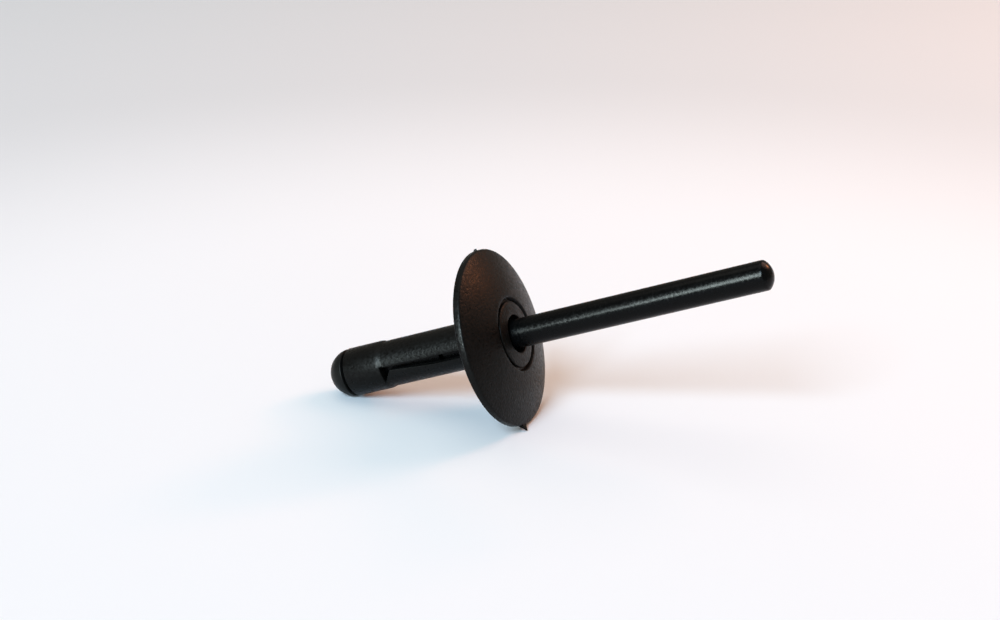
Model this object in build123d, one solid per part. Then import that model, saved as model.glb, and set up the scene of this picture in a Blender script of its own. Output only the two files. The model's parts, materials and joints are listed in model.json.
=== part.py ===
from build123d import *

import os
from math import acos, asin, atan2, cos, degrees, hypot, radians, sin, sqrt

# Expanding rivet of moulded nylon, not yet set, lying on a flat surface.
# Lengths are in millimetres and angles in degrees.
# Both pieces are drawn upright on the rivet's axis: the pull stem points to +Z, the blind
# end to -Z, and Z is 0 at the front edge of the flange's rim. They are laid down at the end.

# Flange: a thin crowned washer, hollow underneath, that bears on the panel with its outer land
flange_diameter = 19.0
rim_thickness = 0.8
rim_edge_radius = 0.22
crown_height = 1.8
flange_middle_thickness = 1.3
seat_land_width = 1.0

# Ring groove in the face, and the wide mouth of the bore
ring_diameter = 7.52
ring_width = 0.46
ring_floor_width = 0.26
ring_depth = 0.3
mouth_diameter = 4.1
mouth_depth = 2.6
mouth_edge_chamfer = 0.1

# Sleeve: three legs between the flange and the closed collar at the blind end
leg_diameter = 5.0
sleeve_root_chamfer = 0.3
collar_diameter = 5.28
collar_length = 4.4
collar_slope_length = 0.54
sleeve_length = 17.7
collar_edge_chamfer = 0.08
bore_lead = 0.2

# Slots between the legs: one straight edge, one edge that closes in towards the collar
slot_count = 3
slot_width = 0.85
slot_waist = 0.4
slot_root = 1.4
slot_taper_start = 6.8
slot_turn = -88.0

# Hinge notch where each slot meets the collar, so that the leg can fold there
notch_length = 1.1
notch_reach = 1.75
nick_reach = 0.15
nick_length = 0.7

# Marks that the mould leaves on the rim: low down the gate's torn stub, a fang that leans over the
# face and stops just short of the floor, and near the top the vent's small nub
gate_mark_height = 0.67
gate_mark_lean = 0.3
gate_mark_width = 1.0
gate_foot_shift = 0.2
gate_tip_width = 0.16
gate_floor_gap = 0.05
vent_mark_turn = 173.0
vent_mark_height = 0.2
vent_mark_lean = -0.22
vent_mark_width = 0.5
vent_tip_width = 0.3

# Mandrel: domed head, shank with a break neck inside the sleeve, and a thinner pull stem that
# starts with a short taper inside the mouth and has a domed end. A gap shows under the head.
shank_diameter = 3.2
stem_diameter = 3.1
stem_reach = 29.17
stem_taper_length = 0.8
stem_dome_height = 0.75
stem_edge_chamfer = 0.1
neck_diameter = 2.0
neck_width = 0.5
neck_depth_in_sleeve = 6.2
head_diameter = 5.2
head_height = 2.4
head_gap = 0.35
head_seat_diameter = 4.1
head_edge_chamfer = 0.08

# Fit of the shank in the sleeve, on the radius
running_clearance = 0.08

flange_r = flange_diameter / 2
leg_r = leg_diameter / 2
collar_r = collar_diameter / 2
mouth_r = mouth_diameter / 2
shank_r = shank_diameter / 2
stem_r = stem_diameter / 2
head_r = head_diameter / 2
bore_r = shank_r + running_clearance

# Heights on the axis
seat_z = -rim_thickness
sleeve_end_z = seat_z - sleeve_length
collar_z = sleeve_end_z + collar_length
head_edge_z = sleeve_end_z - head_gap
head_top_z = head_edge_z - head_height
neck_z = seat_z - neck_depth_in_sleeve


def sphere_through_rim(height, rim_radius):
    return (rim_radius**2 + height**2) / (2 * height)


head_ball_r = sphere_through_rim(head_height, head_r)
head_ball_z = head_top_z + head_ball_r
crown_r = sphere_through_rim(crown_height, flange_r)
hollow_height = rim_thickness + crown_height - flange_middle_thickness
hollow_rim_r = flange_r - seat_land_width
hollow_r = sphere_through_rim(hollow_height, hollow_rim_r)


def crown_z(radius):
    return crown_height - crown_r + sqrt(crown_r**2 - radius**2)


def hollow_z(radius):
    return seat_z + hollow_height - hollow_r + sqrt(hollow_r**2 - radius**2)


def corners_at(face, places):
    same_place = 1e-4
    return [v for v in face.vertices() for x, z in places if hypot(v.X - x, v.Z - z) < same_place]


def round_corners(face, places, size):
    return fillet(corners_at(face, places), size)


def bevel_corners(face, places, size):
    return chamfer(corners_at(face, places), size)


def turned(face):
    return revolve(face, Axis.Z)


def sleeve_blank():
    mouth = (mouth_r, crown_z(mouth_r))
    rim_front = (flange_r, 0)
    rim_back = (flange_r, seat_z)
    land_inner = (hollow_rim_r, seat_z)
    root = (leg_r, hollow_z(leg_r))
    slope_foot = (leg_r, collar_z + collar_slope_length / 2)
    slope_top = (collar_r, collar_z - collar_slope_length / 2)
    end_corner = (collar_r, sleeve_end_z)
    bore_end = (bore_r, sleeve_end_z)
    mouth_floor_z = mouth[1] - mouth_depth
    crown_middle = (mouth_r + flange_r) / 2
    hollow_middle = (leg_r + hollow_rim_r) / 2
    outline = [
        ThreePointArc(mouth, (crown_middle, crown_z(crown_middle)), rim_front),
        Polyline(rim_front, rim_back, land_inner),
        ThreePointArc(land_inner, (hollow_middle, hollow_z(hollow_middle)), root),
        Polyline(root, slope_foot, slope_top, end_corner, bore_end,
                 (bore_r, mouth_floor_z), (mouth_r, mouth_floor_z), mouth),
    ]
    section = Plane.XZ * make_face(outline)
    section = round_corners(section, [rim_front, rim_back], rim_edge_radius)
    section = bevel_corners(section, [root], sleeve_root_chamfer)
    section = bevel_corners(section, [mouth], mouth_edge_chamfer)
    section = bevel_corners(section, [end_corner], collar_edge_chamfer)
    section = bevel_corners(section, [bore_end], bore_lead)
    # The seam of the turned faces runs along a leg, well clear of the slots on both sides of it
    seam_turn = slot_turn - 3 / 8 * 360 / slot_count
    return Rot(0, 0, seam_turn) * turned(section)


def ring_groove():
    # A keystone section that stands square to the crowned face
    radius = ring_diameter / 2
    lean = degrees(asin(radius / crown_r))
    above = ring_depth
    flare = (ring_width - ring_floor_width) / 2 * above / ring_depth
    section = Polygon(
        (-ring_floor_width / 2, -ring_depth),
        (ring_floor_width / 2, -ring_depth),
        (ring_width / 2 + flare, above),
        (-ring_width / 2 - flare, above),
        align=None,
    )
    return turned(Plane.XZ * Pos(radius, crown_z(radius)) * Rot(0, 0, -lean) * section)


def slot_cut(turn):
    # Drawn flat against the leg, with the rivet's axis upright, and cut straight through its wall
    straight = -slot_width / 2
    slanted = slot_width / 2
    waist = straight + slot_waist
    outline = Polygon(
        (straight, seat_z - slot_root),
        (slanted, seat_z - slot_root),
        (slanted, seat_z - slot_taper_start),
        (waist, collar_z + notch_length),
        (straight + notch_reach, collar_z),
        (straight - nick_reach, collar_z),
        (straight, collar_z + nick_length),
        align=None,
    )
    outward = Vector(cos(radians(turn)), sin(radians(turn)), 0)
    across = Vector(-sin(radians(turn)), cos(radians(turn)), 0)
    leg_side = Plane(origin=(0, 0, 0), x_dir=across, z_dir=outward)
    return extrude(leg_side * outline, collar_r, dir=outward)


def rim_mark(turn, height, tip_z, width, tip_width, foot_shift=0):
    # From the side it rises from nothing at the back of the rim to its tip at the front, and
    # from the front it narrows from its foot to its tip
    inner = flange_r - rim_edge_radius
    tip_r = flange_r + height
    from_side = Polygon(
        (inner, min(tip_z, 0)), (tip_r, tip_z), (flange_r, seat_z), (inner, seat_z), align=None
    )
    from_front = Polygon(
        (inner, foot_shift - width / 2), (tip_r, -tip_width / 2), (tip_r, tip_width / 2),
        (inner, foot_shift + width / 2), align=None
    )
    mark = extrude(Plane.XZ * from_side, width, both=True)
    mark &= extrude(from_front, flange_diameter, both=True)
    return Rot(0, 0, turn) * mark


def lying_place():
    # The rivet rests on the rounded back edge of the rim and on the domed head. Both are taken
    # as circles in the upright plane through the axis, and the floor is the line below both.
    edge_r = flange_r - rim_edge_radius
    run = seat_z + rim_edge_radius - head_ball_z
    drop = head_ball_r - rim_edge_radius
    return degrees(acos(drop / hypot(edge_r, run)) - atan2(run, edge_r))


def gate_turn(tilt):
    # The gate mark lies beside the lowest point of the rim, as near to it as the floor lets its tip
    lean = radians(tilt)
    edge_low = (flange_r - rim_edge_radius) * cos(lean) + rim_edge_radius
    edge_low += (rim_thickness - rim_edge_radius) * sin(lean)
    tip_low = edge_low + gate_mark_lean * sin(lean) - gate_floor_gap
    reach = hypot(flange_r + gate_mark_height, gate_tip_width / 2)
    corner = degrees(atan2(gate_tip_width / 2, flange_r + gate_mark_height))
    return -degrees(acos(tip_low / (reach * cos(lean)))) - corner


def make_sleeve(tilt):
    sleeve = sleeve_blank() - ring_groove()
    for step in range(slot_count):
        sleeve -= slot_cut(slot_turn + step * 360 / slot_count)
    sleeve += rim_mark(gate_turn(tilt), gate_mark_height, gate_mark_lean, gate_mark_width,
                       gate_tip_width, gate_foot_shift)
    sleeve += rim_mark(vent_mark_turn, vent_mark_height, vent_mark_lean, vent_mark_width, vent_tip_width)
    return sleeve


def make_mandrel():
    dome_middle_z = (head_top_z + head_edge_z) / 2
    dome_middle_r = sqrt(head_ball_r**2 - (dome_middle_z - head_ball_z) ** 2)
    head_edge = (head_r, head_edge_z)
    seat_r = head_seat_diameter / 2
    neck_r = neck_diameter / 2
    stem_root_z = crown_z(mouth_r)
    stem_edge = (stem_r, stem_reach)
    stem_end = (0, stem_reach + stem_dome_height)
    stem_ball_r = sphere_through_rim(stem_dome_height, stem_r)
    end_middle = (stem_r / 2, stem_end[1] - stem_ball_r + sqrt(stem_ball_r**2 - stem_r**2 / 4))
    outline = [
        ThreePointArc((0, head_top_z), (dome_middle_r, dome_middle_z), head_edge),
        Polyline(head_edge, (seat_r, head_edge_z), (seat_r, sleeve_end_z), (shank_r, sleeve_end_z),
                 (shank_r, neck_z - neck_width / 2), (neck_r, neck_z), (shank_r, neck_z + neck_width / 2),
                 (shank_r, stem_root_z - stem_taper_length), (stem_r, stem_root_z), stem_edge),
        ThreePointArc(stem_edge, end_middle, stem_end),
        Line(stem_end, (0, head_top_z)),
    ]
    section = Plane.XZ * make_face(outline)
    section = bevel_corners(section, [head_edge], head_edge_chamfer)
    section = bevel_corners(section, [stem_edge], stem_edge_chamfer)
    return turned(section)


tilt = lying_place()
lean = radians(tilt)
laid = Plane(origin=(0, 0, 0), x_dir=(sin(lean), 0, -cos(lean)), z_dir=(cos(lean), 0, sin(lean)))
sleeve = laid * make_sleeve(tilt)
mandrel = laid * make_mandrel()

# The origin is on the surface that the rivet lies on, under the middle of its length and width
box = Compound([sleeve, mandrel]).bounding_box()
floor_z = head_ball_z * sin(lean) - head_ball_r
place = Pos(-(box.min.X + box.max.X) / 2, -(box.min.Y + box.max.Y) / 2, -floor_z)

os.makedirs("parts", exist_ok=True)
for label, piece in (("sleeve", place * sleeve), ("mandrel", place * mandrel)):
    piece.label = label
    export_step(piece, f"parts/{label}.step")

moved = place.position
print("tilt", round(tilt, 4), "rim centre", [round(v, 4) for v in moved])
print("gate mark turn", round(gate_turn(tilt), 3), "box", box.size)
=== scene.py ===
import json
from math import asin, cos, pi, radians, sin, sqrt

import bmesh
import bpy
from mathutils import Matrix, Vector


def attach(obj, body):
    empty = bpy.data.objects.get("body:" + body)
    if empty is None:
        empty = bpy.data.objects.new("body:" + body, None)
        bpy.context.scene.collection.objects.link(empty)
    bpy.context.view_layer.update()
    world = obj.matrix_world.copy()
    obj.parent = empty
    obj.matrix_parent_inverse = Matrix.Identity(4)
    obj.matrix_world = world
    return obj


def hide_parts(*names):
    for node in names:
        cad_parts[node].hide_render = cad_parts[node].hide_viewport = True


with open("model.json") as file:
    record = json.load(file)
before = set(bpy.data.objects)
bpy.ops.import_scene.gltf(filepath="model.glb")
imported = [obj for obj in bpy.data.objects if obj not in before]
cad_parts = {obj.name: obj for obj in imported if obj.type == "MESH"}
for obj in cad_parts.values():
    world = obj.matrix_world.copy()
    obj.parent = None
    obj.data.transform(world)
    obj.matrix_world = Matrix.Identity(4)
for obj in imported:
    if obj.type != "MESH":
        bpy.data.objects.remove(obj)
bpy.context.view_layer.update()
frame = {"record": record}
print("frame loaded")

mm = 0.001
fullTurn = 2 * pi
mergeDistance = 0.0005  # mm, between vertices that a full turn brings together
sharpAngle = radians(38)  # an edge that turns by more than this stays crisp
roundSteps = {"root": 5, "rim": 4, "edge": 3, "small": 2, "lead": 1}  # faces across each rounding
mounts = {mount["name"]: mount for mount in frame["record"]["mounts"]}
rivetAxis = mounts["pull_stem"]["axis"]


# The rivet is shaped upright in millimetres, with its axis on Z, the pull stem up and the
# rim's front edge at 0, and is then laid down where the CAD model lies
def lyingPlace(rimThickness):
    axis = Vector(rivetAxis).normalized()
    onStem = Vector(mounts["pull_stem"]["pos_m"])
    onSeat = Vector(mounts["flange_seat"]["pos_m"])
    centre = onStem + axis * ((onSeat - onStem).dot(axis) + rimThickness * mm)
    down = Vector((axis.z, 0, -axis.x))
    turn = Matrix((down, Vector((0, 1, 0)), axis)).transposed()
    return Matrix.Translation(centre) @ turn.to_4x4() @ Matrix.Scale(mm, 4)


def addRun(mesh, start, corners):
    # straight edges from a vertex through the given (radius, height) corners
    last = start
    added = []
    for radius, height in corners:
        vert = mesh.verts.new((radius, 0, height))
        if last is not None:
            mesh.edges.new((last, vert))
        last = vert
        added.append(vert)
    return added


def sweepArc(mesh, start, ball, angle, steps):
    # one vertex spun round a ball's centre leaves an arc of edges behind it
    spun = bmesh.ops.spin(mesh, geom=[start], cent=(0, 0, ball), axis=(0, 1, 0),
                          angle=angle, steps=steps)
    return next(part for part in spun["geom_last"] if isinstance(part, bmesh.types.BMVert))


def roundCorner(mesh, vert, size, segments):
    bmesh.ops.bevel(mesh, geom=[vert], offset=size, offset_type="OFFSET", segments=segments,
                    profile=0.5, affect="VERTICES", material=-1)


def turnSection(mesh, steps, startTurn):
    bmesh.ops.rotate(mesh, verts=mesh.verts, cent=(0, 0, 0),
                     matrix=Matrix.Rotation(startTurn, 3, "Z"))
    bmesh.ops.spin(mesh, geom=mesh.verts[:] + mesh.edges[:], cent=(0, 0, 0), axis=(0, 0, 1),
                   angle=fullTurn, steps=steps, use_merge=True)
    bmesh.ops.remove_doubles(mesh, verts=mesh.verts, dist=mergeDistance)
    bmesh.ops.recalc_face_normals(mesh, faces=mesh.faces)


def asObject(mesh, name):
    data = bpy.data.meshes.new(name)
    mesh.to_mesh(data)
    mesh.free()
    piece = bpy.data.objects.new(name, data)
    bpy.context.scene.collection.objects.link(piece)
    return piece


def applied(piece):
    # the evaluated mesh takes the place of the mesh and its modifiers
    bpy.context.view_layer.update()
    graph = bpy.context.evaluated_depsgraph_get()
    finished = bpy.data.meshes.new_from_object(piece.evaluated_get(graph))
    piece.modifiers.clear()
    piece.data = finished


def joinCut(piece, tools, operation):
    # exact Boolean of the piece with each tool, which is then thrown away
    for tool in tools:
        step = piece.modifiers.new(operation.lower(), "BOOLEAN")
        step.operation = operation
        step.solver = "EXACT"
        step.object = tool
    applied(piece)
    for tool in tools:
        bpy.data.objects.remove(tool)


def sphereThroughRim(height, rimRadius):
    return (rimRadius ** 2 + height ** 2) / (2 * height)


# sleeve: flange, three legs and collar, one moulding

sleeveSizes = {
    "flangeRadius": 9.5, "rimThickness": 0.8, "rimRounding": 0.15, "rimBackRounding": 0.22,
    "crownHeight": 1.8, "middleThickness": 1.3, "landWidth": 1.0, "rootRounding": 0.3,
    "ringRadius": 3.76, "ringWidth": 0.46, "ringFloorWidth": 0.26, "ringDepth": 0.42,
    "ringEdge": 0.06, "discDepth": 0.1,  # the face inside the ring groove is sunk by discDepth
    "mouthRadius": 2.05, "mouthDepth": 2.6, "mouthRounding": 0.1,
    "legRadius": 2.5, "collarRadius": 2.64, "collarLength": 4.4, "collarSlope": 0.54,
    "length": 17.7, "collarEdge": 0.08, "boreRadius": 1.68, "boreLead": 0.2,
    "turnSteps": 160, "crownSteps": 24,
}
slotSizes = {
    "count": 3, "turn": radians(-88), "width": 0.85, "waist": 0.4, "root": 1.4, "taperStart": 6.8,
    "notchLength": 1.1, "notchReach": 1.75, "nickReach": 0.15, "nickLength": 0.7, "edge": 0.035,
    "overshoot": 1,  # how far the cutter stands out of the wall
    # what counts as an outer edge of a slot: near the wall, between its ends, and this sharp
    "wallTolerance": 0.04, "endTolerance": 0.02, "leastAngle": 0.5,
}
footSink = 1.5  # a rim mark's foot goes this many rim roundings deep into the rim
rimMarks = [
    # the gate's torn stub, a fang that leans over the face, and near the top the vent's small nub
    {"turn": radians(-16.182), "height": 0.63, "width": 1.0, "tipWidth": 0.14, "footHeight": -0.4,
     "footDepth": 0.8, "footShift": 0.2, "tipHeight": 0.26, "tipDepth": 0.08, "edge": 0.03},
    {"turn": radians(173), "height": 0.2, "width": 0.5, "tipWidth": 0.3, "footHeight": -0.45,
     "footDepth": 0.5, "footShift": 0, "tipHeight": -0.3, "tipDepth": 0.16, "edge": 0.03},
]


def sleeveHeights(size):
    # the flange's bearing face, the middle of the collar's slope and the blind end
    seat = -size["rimThickness"]
    end = seat - size["length"]
    return seat, end + size["collarLength"], end


def sleeveBlank(size, startTurn):
    mesh = bmesh.new()
    rimRadius = size["flangeRadius"]
    seat, shoulder, end = sleeveHeights(size)
    crownBall = sphereThroughRim(size["crownHeight"], rimRadius)
    crownCentre = size["crownHeight"] - crownBall
    hollowHeight = size["rimThickness"] + size["crownHeight"] - size["middleThickness"]
    landRadius = rimRadius - size["landWidth"]
    hollowBall = sphereThroughRim(hollowHeight, landRadius)
    hollowCentre = seat + hollowHeight - hollowBall

    def leanOn(ball, radius):
        return asin(radius / ball)

    def onCrown(lean, depth=0):
        reach = crownBall - depth
        return reach * sin(lean), crownCentre + reach * cos(lean)

    def crownArc(start, fromLean, toLean):
        share = abs(toLean - fromLean) / leanOn(crownBall, rimRadius)
        steps = max(2, round(size["crownSteps"] * share))
        return sweepArc(mesh, start, crownCentre, toLean - fromLean, steps)

    mouthLean = leanOn(crownBall, size["mouthRadius"])
    ringLean = leanOn(crownBall, size["ringRadius"])
    ringHalf = size["ringWidth"] / 2 / crownBall
    ringFloorHalf = size["ringFloorWidth"] / 2 / crownBall
    rimLean = leanOn(crownBall, rimRadius)

    mouth, = addRun(mesh, None, [onCrown(mouthLean, size["discDepth"])])
    ringIn = crownArc(mouth, mouthLean, ringLean - ringHalf)
    ringOut = addRun(mesh, ringIn, [
        onCrown(ringLean - ringFloorHalf, size["ringDepth"]),
        onCrown(ringLean + ringFloorHalf, size["ringDepth"]),
        onCrown(ringLean + ringHalf)])[-1]
    rimFront = crownArc(ringOut, ringLean + ringHalf, rimLean)
    rimBack, landInner = addRun(mesh, rimFront, [(rimRadius, seat), (landRadius, seat)])
    rootLean = leanOn(hollowBall, size["legRadius"])
    landLean = leanOn(hollowBall, landRadius)
    root = sweepArc(mesh, landInner, hollowCentre, rootLean - landLean, size["crownSteps"])
    mouthFloor = onCrown(mouthLean)[1] - size["mouthDepth"]
    collarRun = addRun(mesh, root, [
        (size["legRadius"], shoulder + size["collarSlope"] / 2),
        (size["collarRadius"], shoulder - size["collarSlope"] / 2),
        (size["collarRadius"], end), (size["boreRadius"], end),
        (size["boreRadius"], mouthFloor), (size["mouthRadius"], mouthFloor)])
    mesh.edges.new((collarRun[-1], mouth))
    slopeTop, slopeFoot, endCorner, boreEnd = collarRun[:4]

    roundCorner(mesh, rimFront, size["rimRounding"], roundSteps["rim"])
    roundCorner(mesh, rimBack, size["rimBackRounding"], roundSteps["rim"])
    roundCorner(mesh, root, size["rootRounding"], roundSteps["root"])
    roundCorner(mesh, mouth, size["mouthRounding"], roundSteps["edge"])
    roundCorner(mesh, endCorner, size["collarEdge"], roundSteps["edge"])
    roundCorner(mesh, boreEnd, size["boreLead"], roundSteps["lead"])
    for corner in (ringIn, ringOut):
        roundCorner(mesh, corner, size["ringEdge"], roundSteps["small"])
    for corner in (slopeTop, slopeFoot):
        roundCorner(mesh, corner, size["collarSlope"] / 4, roundSteps["small"])
    turnSection(mesh, size["turnSteps"], startTurn)
    return asObject(mesh, "sleeveMoulding")


def slotCutter(size, blank, turn):
    # drawn flat against the leg, with the rivet's axis upright, then pulled out through its wall
    seat, shoulder, _ = sleeveHeights(blank)
    straight, slanted = -size["width"] / 2, size["width"] / 2
    mesh = bmesh.new()
    corners = [
        (straight, seat - size["root"]), (slanted, seat - size["root"]),
        (slanted, seat - size["taperStart"]),
        (straight + size["waist"], shoulder + size["notchLength"]),
        (straight + size["notchReach"], shoulder), (straight - size["nickReach"], shoulder),
        (straight, shoulder + size["nickLength"]),
    ]
    outline = mesh.faces.new([mesh.verts.new((0, across, height)) for across, height in corners])
    pulled = bmesh.ops.extrude_face_region(mesh, geom=[outline])
    moved = [part for part in pulled["geom"] if isinstance(part, bmesh.types.BMVert)]
    bmesh.ops.translate(mesh, verts=moved, vec=(blank["collarRadius"] + size["overshoot"], 0, 0))
    bmesh.ops.rotate(mesh, verts=mesh.verts, cent=(0, 0, 0), matrix=Matrix.Rotation(turn, 3, "Z"))
    bmesh.ops.recalc_face_normals(mesh, faces=mesh.faces)
    return asObject(mesh, "slotCutter")


def rimMark(blank, mark):
    # a cone of four sides that starts as a unit cube: its foot is well inside the rim's plastic
    mesh = bmesh.new()
    sunk = blank["rimRounding"] * footSink
    foot, reach = blank["flangeRadius"] - sunk, mark["height"] + sunk
    bmesh.ops.create_cone(mesh, cap_ends=True, segments=4, radius1=sqrt(0.5), radius2=sqrt(0.5),
                          depth=1, matrix=Matrix.Rotation(pi / 4, 4, "Z"))
    tip = [vert for vert in mesh.verts if vert.co.z > 0]
    base = [vert for vert in mesh.verts if vert.co.z < 0]
    bmesh.ops.rotate(mesh, verts=mesh.verts, cent=(0, 0, 0), matrix=Matrix.Rotation(pi / 2, 3, "Y"))
    bmesh.ops.translate(mesh, verts=mesh.verts, vec=(0.5, 0, 0))
    bmesh.ops.scale(mesh, verts=base, vec=(1, mark["width"], mark["footDepth"]))
    bmesh.ops.scale(mesh, verts=tip, vec=(1, mark["tipWidth"], mark["tipDepth"]))
    bmesh.ops.scale(mesh, verts=mesh.verts, vec=(reach, 1, 1))
    bmesh.ops.translate(mesh, verts=base, vec=(foot, mark["footShift"], mark["footHeight"]))
    bmesh.ops.translate(mesh, verts=tip, vec=(foot, 0, mark["tipHeight"]))
    bmesh.ops.bevel(mesh, geom=mesh.edges[:], offset=mark["edge"], segments=roundSteps["small"],
                    profile=0.5, affect="EDGES", material=-1)
    bmesh.ops.rotate(mesh, verts=mesh.verts, cent=(0, 0, 0),
                     matrix=Matrix.Rotation(mark["turn"], 3, "Z"))
    bmesh.ops.recalc_face_normals(mesh, faces=mesh.faces)
    return asObject(mesh, "rimMark")


def roundSlotEdges(piece, size, blank):
    # the slots' outer edges, which the mould leaves a little blunt
    seat, shoulder, _ = sleeveHeights(blank)
    lowest, highest = shoulder - size["endTolerance"], seat - size["root"] + size["endTolerance"]
    mesh = bmesh.new()
    mesh.from_mesh(piece.data)
    edges = []
    for edge in mesh.edges:
        middle = (edge.verts[0].co + edge.verts[1].co) / 2
        outside = middle.xy.length > blank["legRadius"] - size["wallTolerance"]
        between = lowest < middle.z < highest
        joined = len(edge.link_faces) == 2
        if outside and between and joined and edge.calc_face_angle() > size["leastAngle"]:
            edges.append(edge)
    bmesh.ops.bevel(mesh, geom=edges, offset=size["edge"], segments=roundSteps["small"],
                    profile=0.5, affect="EDGES", clamp_overlap=False, material=-1)
    mesh.to_mesh(piece.data)
    mesh.free()
    print("slot edges rounded:", len(edges))


def dress(piece, body, node, material):
    # lays the finished shape down in the frame, shades it and hands it to its body
    piece.data.transform(lyingPlace(sleeveSizes["rimThickness"]))
    for face in piece.data.polygons:
        face.use_smooth = True
    piece.data.set_sharp_from_angle(angle=sharpAngle)
    piece.data.materials.clear()
    piece.data.materials.append(material)
    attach(piece, body)
    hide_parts(node)


# mandrel: domed head, shank with its break neck, and pull stem with a domed end, one moulding

mandrelSizes = {
    "shankRadius": 1.6, "stemRadius": 1.55, "stemReach": 29.17, "taperLength": 0.8,
    "stemDomeHeight": 0.75, "stemEdge": 0.25,
    "neckRadius": 1.0, "neckWidth": 0.5, "neckDepth": 6.2, "neckRounding": 0.08,
    "headRadius": 2.6, "headHeight": 2.4, "headGap": 0.35, "headSeatRadius": 2.05, "headEdge": 0.08,
    "turnSteps": 144, "domeSteps": 24,
}


def mandrelBlank(size, blank):
    mesh = bmesh.new()
    seat, _, sleeveEnd = sleeveHeights(blank)
    headEdgeHeight = sleeveEnd - size["headGap"]
    headTop = headEdgeHeight - size["headHeight"]
    ball = sphereThroughRim(size["headHeight"], size["headRadius"])
    crownBall = sphereThroughRim(blank["crownHeight"], blank["flangeRadius"])
    face = blank["crownHeight"] - crownBall + sqrt(crownBall ** 2 - blank["mouthRadius"] ** 2)
    neck = seat - size["neckDepth"]

    pole, = addRun(mesh, None, [(0, headTop)])
    headLean = asin(size["headRadius"] / ball)
    headEdge = sweepArc(mesh, pole, headTop + ball, -headLean, size["domeSteps"])
    run = addRun(mesh, headEdge, [
        (size["headSeatRadius"], headEdgeHeight), (size["headSeatRadius"], sleeveEnd),
        (size["shankRadius"], sleeveEnd),
        (size["shankRadius"], neck - size["neckWidth"] / 2), (size["neckRadius"], neck),
        (size["shankRadius"], neck + size["neckWidth"] / 2),
        (size["shankRadius"], face - size["taperLength"]), (size["stemRadius"], face),
        (size["stemRadius"], size["stemReach"])])
    neckMiddle, stemEnd = run[4], run[-1]
    stemBall = sphereThroughRim(size["stemDomeHeight"], size["stemRadius"])
    sweepArc(mesh, stemEnd, size["stemReach"] + size["stemDomeHeight"] - stemBall,
             -asin(size["stemRadius"] / stemBall), size["domeSteps"])
    roundCorner(mesh, headEdge, size["headEdge"], roundSteps["edge"])
    roundCorner(mesh, neckMiddle, size["neckRounding"], roundSteps["edge"])
    roundCorner(mesh, stemEnd, size["stemEdge"], roundSteps["rim"])
    turnSection(mesh, size["turnSteps"], 0)
    return asObject(mesh, "mandrelMoulding")


def toLinear(hexColour):
    # sRGB hex to the linear values that a shader takes
    parts = [int(hexColour[i:i + 2], 16) / 255 for i in (1, 3, 5)]
    return [part / 12.92 if part <= 0.04045 else ((part + 0.055) / 1.055) ** 2.4
            for part in parts] + [1]


def addNode(tree, kind, settings=None, inputs=None):
    node = tree.nodes.new("ShaderNode" + kind)
    for name, value in (settings or {}).items():
        setattr(node, name, value)
    for name, value in (inputs or {}).items():
        socket = node.inputs[name]
        if isinstance(value, bpy.types.NodeSocket):
            tree.links.new(value, socket)
        else:
            socket.default_value = value
    return node


def newMaterial(name):
    material = bpy.data.materials.new(name)
    material.use_nodes = True
    material.node_tree.nodes.clear()
    return material, material.node_tree


# polyamide 6.6 with carbon black, injection moulded in a spark-eroded cavity: a fine pitted
# grain that breaks the sheen into specks and keeps the flange satin. The real pits are a few
# hundredths of a millimetre wide, finer than the 0.1 mm of a pixel, so the grain is drawn
# coarser, at 0.28 mm, where it shows
sleeveFinish = {
    "name": "nylonSparkEroded", "dark": "#070706", "pale": "#0e0d0c", "grainWidth": 0.28,
    "grainDepth": 0.04, "flowWidth": 2.6, "roughness": 0.37, "roughnessSpread": 0.24,
    "specular": 0.085,
}
# the same nylon from a polished cavity: smoother, with a narrow streak of light along the stem,
# its faint grain drawn coarser too; the head's end of the cavity is eroded, so the head is
# duller, and its paler colour is a painted sheen. headFrom and headTo are places along the axis,
# from the origin
mandrelFinish = {
    "name": "nylonMouldPolished", "dark": "#030304", "pale": "#070808", "grainWidth": 0.25,
    "grainDepth": 0.008, "flowWidth": 1.8, "roughness": 0.22, "roughnessSpread": 0.16,
    "specular": 0.085, "head": "#131312", "headRoughness": 0.2, "headFrom": -18.8, "headTo": -19.2,
}
nylonIor = 1.53
grainNoise = {"Detail": 2.0, "Roughness": 0.55}
flowNoise = {"Detail": 3.0, "Roughness": 0.5}
grainLow, grainHigh = 0.3, 0.7  # the part of the grain's noise that moves the roughness


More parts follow.
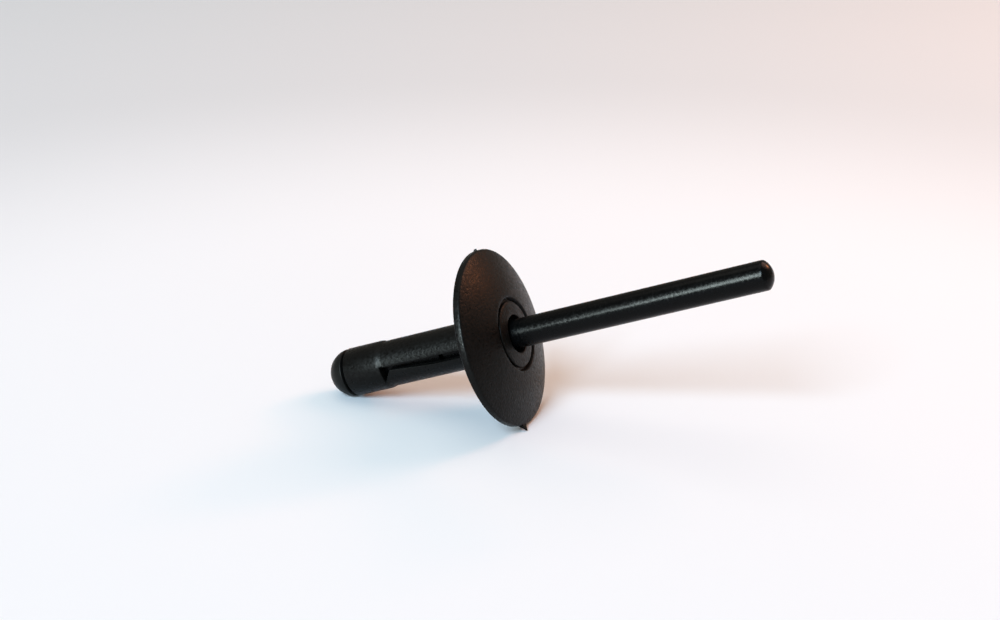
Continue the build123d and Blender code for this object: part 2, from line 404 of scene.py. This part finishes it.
def nylon(finish):
    material, tree = newMaterial(finish["name"])
    place = addNode(tree, "TexCoord").outputs["Object"]
    grain = addNode(tree, "TexNoise", inputs={
        "Vector": place, "Scale": 1 / (finish["grainWidth"] * mm), **grainNoise})
    flow = addNode(tree, "TexNoise", inputs={
        "Vector": place, "Scale": 1 / (finish["flowWidth"] * mm), **flowNoise})
    colour = addNode(tree, "Mix", {"data_type": "RGBA"}, {
        0: flow.outputs["Fac"], 6: toLinear(finish["dark"]), 7: toLinear(finish["pale"])})
    base, meanRoughness = colour.outputs[2], finish["roughness"]
    # the head gets a paler colour, which is a painted sheen, and a higher roughness
    if "head" in finish:
        along = addNode(tree, "VectorMath", {"operation": "DOT_PRODUCT"}, {0: place, 1: rivetAxis})
        onHead = addNode(tree, "MapRange", inputs={
            "Value": along.outputs["Value"],
            "From Min": finish["headFrom"] * mm, "From Max": finish["headTo"] * mm})
        base = addNode(tree, "Mix", {"data_type": "RGBA"}, {
            0: onHead.outputs["Result"], 6: base, 7: toLinear(finish["head"])}).outputs[2]
        meanRoughness = addNode(tree, "Math", {"operation": "MULTIPLY_ADD"}, {
            0: onHead.outputs["Result"], 1: finish["headRoughness"],
            2: meanRoughness}).outputs["Value"]
    spread = finish["roughnessSpread"] / 2
    unevenness = addNode(tree, "MapRange", inputs={
        "Value": grain.outputs["Fac"], "From Min": grainLow, "From Max": grainHigh,
        "To Min": -spread, "To Max": spread})
    roughness = addNode(tree, "Math", {"operation": "ADD"}, {
        0: meanRoughness, 1: unevenness.outputs["Result"]})
    bump = addNode(tree, "Bump", inputs={
        "Height": grain.outputs["Fac"], "Distance": finish["grainDepth"] * mm, "Strength": 1.0})
    shader = addNode(tree, "BsdfPrincipled", inputs={
        "Base Color": base, "Roughness": roughness.outputs["Value"],
        "Normal": bump.outputs["Normal"], "IOR": nylonIor,
        "Specular IOR Level": finish["specular"]})
    addNode(tree, "OutputMaterial", inputs={"Surface": shader.outputs["BSDF"]})
    return material


sleeve = sleeveBlank(sleeveSizes, slotSizes["turn"])  # its turning starts in the first slot
slotTurns = [slotSizes["turn"] + step * fullTurn / slotSizes["count"]
             for step in range(slotSizes["count"])]
joinCut(sleeve, [slotCutter(slotSizes, sleeveSizes, turn) for turn in slotTurns], "DIFFERENCE")
roundSlotEdges(sleeve, slotSizes, sleeveSizes)
joinCut(sleeve, [rimMark(sleeveSizes, mark) for mark in rimMarks], "UNION")
dress(sleeve, "sleeve", "sleeve", nylon(sleeveFinish))
print("sleeve made:", len(sleeve.data.polygons), "faces")

mandrel = mandrelBlank(mandrelSizes, sleeveSizes)
dress(mandrel, "mandrel", "mandrel", nylon(mandrelFinish))
print("mandrel made:", len(mandrel.data.polygons), "faces")


# radius in metres, the fade in millimetres from the origin; the far colour is a painted shade where
# the light falls off
floorSizes = {
    "radius": 3.0, "segments": 96,
    "near": "#f4f4f4", "farShade": "#dcdddd", "fadeFrom": 65, "fadeTo": 170,
}


def makeFloor(size):
    material, tree = newMaterial("paperMatt")  # uncoated white paper: no sheen at all
    place = addNode(tree, "TexCoord").outputs["Object"]
    distance = addNode(tree, "VectorMath", {"operation": "LENGTH"}, {0: place})
    fade = addNode(tree, "MapRange", {"interpolation_type": "SMOOTHSTEP"}, {
        "Value": distance.outputs["Value"],
        "From Min": size["fadeFrom"] * mm, "From Max": size["fadeTo"] * mm})
    # painted shade: the white paper turns greyer towards the far colour, away from the origin
    colour = addNode(tree, "Mix", {"data_type": "RGBA"}, {
        0: fade.outputs["Result"], 6: toLinear(size["near"]), 7: toLinear(size["farShade"])})
    shader = addNode(tree, "BsdfDiffuse", inputs={"Color": colour.outputs[2]})
    addNode(tree, "OutputMaterial", inputs={"Surface": shader.outputs["BSDF"]})
    mesh = bmesh.new()
    bmesh.ops.create_circle(mesh, cap_ends=True, segments=size["segments"], radius=size["radius"])
    floor = asObject(mesh, "tableTop")
    floor.data.materials.append(material)


lamps = [
    # the main light, a wide cool window in front: its shadow is the warm streak behind the stem
    {"name": "coolWindow", "towards": (-0.10, -0.80, 0.60), "distance": 2000, "width": 845,
     "power": 42, "colour": "#c9e8ff"},
    # a broad light from above that softens the window's shadows
    {"name": "ceilingLamp", "towards": (-0.25, 0.10, 0.96), "distance": 1800, "width": 1600,
     "power": 6.4, "colour": "#fff8f0"},
    # a wide warm lamp stands behind on the right
    {"name": "warmLamp", "towards": (0.44, 0.60, 0.67), "distance": 420, "width": 250,
     "power": 0.55, "colour": "#ffc9b4"},
    # a faint warm glow from low behind, which the flange's grain picks up
    {"name": "warmGlow", "towards": (0.511, 0.730, 0.454), "distance": 500, "width": 90,
     "power": 0.38, "colour": "#ff9a5c"},
    # a low soft box in front on the left draws the light along the stem; it is seen in the
    # sheen alone and puts no light on the floor
    {"name": "softBox", "towards": (-0.259, -0.872, 0.425), "distance": 500, "width": 155,
     "height": 235, "power": 6.1, "colour": "#eefffe", "sheenOnly": True},
]
roomGlow = {"colour": "#fff7e8", "strength": 0.30}
lampTarget = (0, 0, 10)


def makeLamps(lamps, glow, target):
    for lamp in lamps:
        light = bpy.data.lights.new(lamp["name"], "AREA")
        light.shape = "RECTANGLE" if "height" in lamp else "DISK"
        light.size = lamp["width"] * mm
        if "height" in lamp:
            light.size_y = lamp["height"] * mm
        light.energy = lamp["power"]
        light.color = toLinear(lamp["colour"])[:3]
        towards = Vector(lamp["towards"]).normalized()
        holder = bpy.data.objects.new(lamp["name"], light)
        bpy.context.scene.collection.objects.link(holder)
        holder.location = target + towards * lamp["distance"] * mm
        holder.visible_diffuse = not lamp.get("sheenOnly", False)
        holder.rotation_euler = towards.to_track_quat("Z", "Y").to_euler()
    world = bpy.data.worlds.new("roomGlow")
    world.use_nodes = True
    world.node_tree.nodes.clear()
    shader = addNode(world.node_tree, "Background", inputs={
        "Color": toLinear(glow["colour"]), "Strength": glow["strength"]})
    addNode(world.node_tree, "OutputWorld", inputs={"Surface": shader.outputs["Background"]})
    bpy.context.scene.world = world


# all in millimetres
cameraPlace = {
    "eye": (53.710, -156.222, 73.933), "target": (-4.766, 0.78, 11.75), "lens": 61.2,
    "sensor": 36, "clipFrom": 5, "clipTo": 20000,
}


def makeCamera(place):
    lens = bpy.data.cameras.new("camera")
    lens.lens = place["lens"]
    lens.sensor_width = place["sensor"]
    lens.clip_start = place["clipFrom"] * mm
    lens.clip_end = place["clipTo"] * mm
    camera = bpy.data.objects.new("camera", lens)
    bpy.context.scene.collection.objects.link(camera)
    eye, target = Vector(place["eye"]) * mm, Vector(place["target"]) * mm
    camera.location = eye
    camera.rotation_euler = (target - eye).to_track_quat("-Z", "Y").to_euler()
    bpy.context.scene.camera = camera


makeFloor(floorSizes)
makeLamps(lamps, roomGlow, Vector(lampTarget) * mm)
makeCamera(cameraPlace)
bpy.context.scene.view_settings.view_transform = "Standard"
print("table, lamps and camera set")
